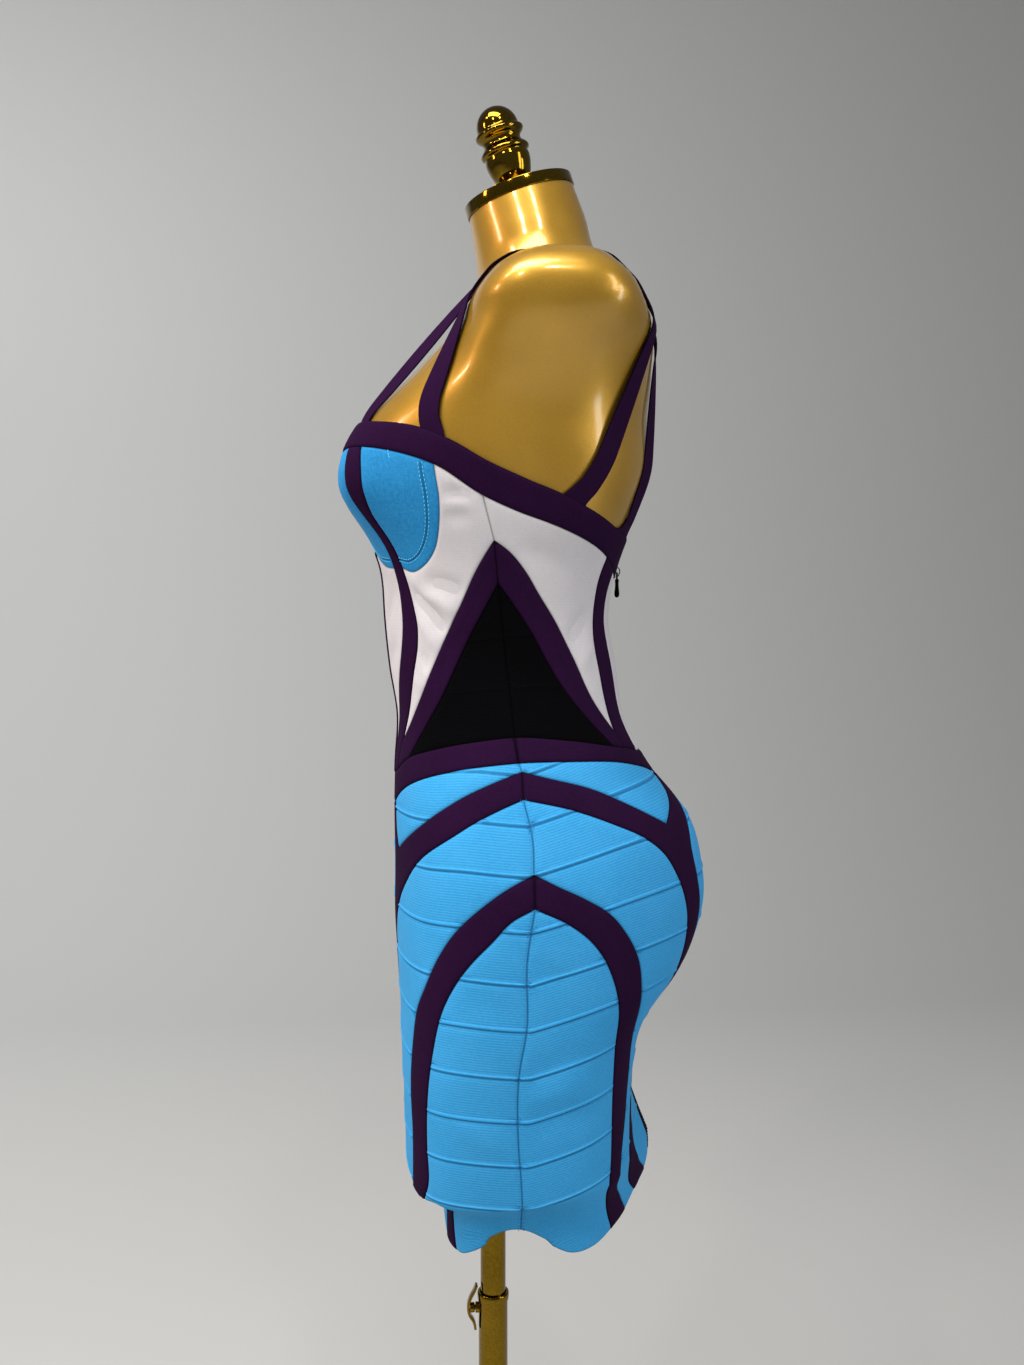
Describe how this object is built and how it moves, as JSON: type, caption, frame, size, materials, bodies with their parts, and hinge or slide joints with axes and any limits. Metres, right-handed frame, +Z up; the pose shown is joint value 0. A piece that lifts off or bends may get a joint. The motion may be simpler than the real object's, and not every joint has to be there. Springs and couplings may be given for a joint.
{
  "type": "bodycon dress on dress form",
  "caption": "Sleeveless bandage bodycon dress in blue, plum, white and black panels, on a limbless gold dress form with a pole stand and round base.",
  "frame": {"origin": "on the floor at the middle of the base's underside, under the pole", "axes": "+Z up, -Y towards the dress's front, +X towards the wearer's left"},
  "size_m": [0.36, 0.36, 1.572],
  "materials": {
    "blue_knit": "matte ribbed bandage knit with a slight sheen",
    "plum_knit": "matte bandage knit",
    "white_knit": "matte bandage knit",
    "black_knit": "matte bandage knit and zip tape",
    "zip_metal": "dark, satin",
    "gold_satin": "pearlescent gold lacquer under a clear coat",
    "gold_polish": "polished gold plating"
  },
  "bodies": {
    "stand": {"base": "gold_polish", "lower_tube": "gold_polish"},
    "lever": {"clamp_lever": "gold_polish"},
    "mast": {"upper_tube": "gold_polish"},
    "form": {"strap_inner_l": "plum_knit", "strap_inner_r": "plum_knit", "strap_outer_l": "plum_knit", "strap_outer_r": "plum_knit", "neck_band_back_l": "plum_knit", "neck_band_back_r": "plum_knit", "cup_inner_l": "blue_knit", "cup_inner_r": "blue_knit", "cup_side_l": "blue_knit", "cup_side_r": "blue_knit", "princess_band_front_l": "plum_knit", "princess_band_front_r": "plum_knit", "centre_front_panel_l": "white_knit", "centre_front_panel_r": "white_knit", "side_front_panel_l": "white_knit", "side_front_panel_r": "white_knit", "side_back_panel_l": "white_knit", "side_back_panel_r": "white_knit", "chevron_band_l": "plum_knit", "chevron_band_r": "plum_knit", "side_triangle_l": "black_knit", "side_triangle_r": "black_knit", "princess_band_back_l": "plum_knit", "princess_band_back_r": "plum_knit", "centre_back_panel_l": "white_knit", "centre_back_panel_r": "white_knit", "waist_band_back_l": "plum_knit", "waist_band_back_r": "plum_knit", "hip_yoke_front_l": "blue_knit", "hip_yoke_front_r": "blue_knit", "hip_yoke_back_l": "blue_knit", "hip_yoke_back_r": "blue_knit", "outer_arch_l": "plum_knit", "outer_arch_r": "plum_knit", "middle_back_panel_l": "blue_knit", "middle_back_panel_r": "blue_knit", "inner_arch_l": "plum_knit", "inner_arch_r": "plum_knit", "lower_side_front_l": "blue_knit", "lower_side_front_r": "blue_knit", "lower_side_back_l": "blue_knit", "lower_side_back_r": "blue_knit", "centre_back_skirt_l": "blue_knit", "centre_back_skirt_r": "blue_knit", "neck_band_front": "plum_knit", "centre_front_band": "plum_knit", "waist_band_front": "plum_knit", "front_diamond": "blue_knit", "skirt_front": "blue_knit", "zip_tape": "black_knit", "zip_slider": "zip_metal", "torso": "gold_satin", "neck_cap": "gold_polish", "finial": "gold_polish", "socket_flange": "gold_polish"},
    "pull": {"pull_tab": "zip_metal"}
  },
  "joints": [
    {"name": "mast_slide", "type": "slide", "parent": "stand", "child": "mast", "axis": [0, 0, 1], "range_m": [-0.1, 0.12]},
    {"name": "form_swivel", "type": "hinge", "parent": "mast", "child": "form", "pos_m": [0, 0, 0.687], "axis": [0, 0, 1], "continuous": true},
    {"name": "clamp_turn", "type": "hinge", "parent": "stand", "child": "lever", "pos_m": [0, -0.018, 0.5495], "axis": [0, 1, 0], "continuous": true},
    {"name": "pull_swing", "type": "hinge", "parent": "form", "child": "pull", "pos_m": [0, 0.1061, 1.189], "axis": [1, 0, 0], "range_deg": [0, 140]}
  ]
}
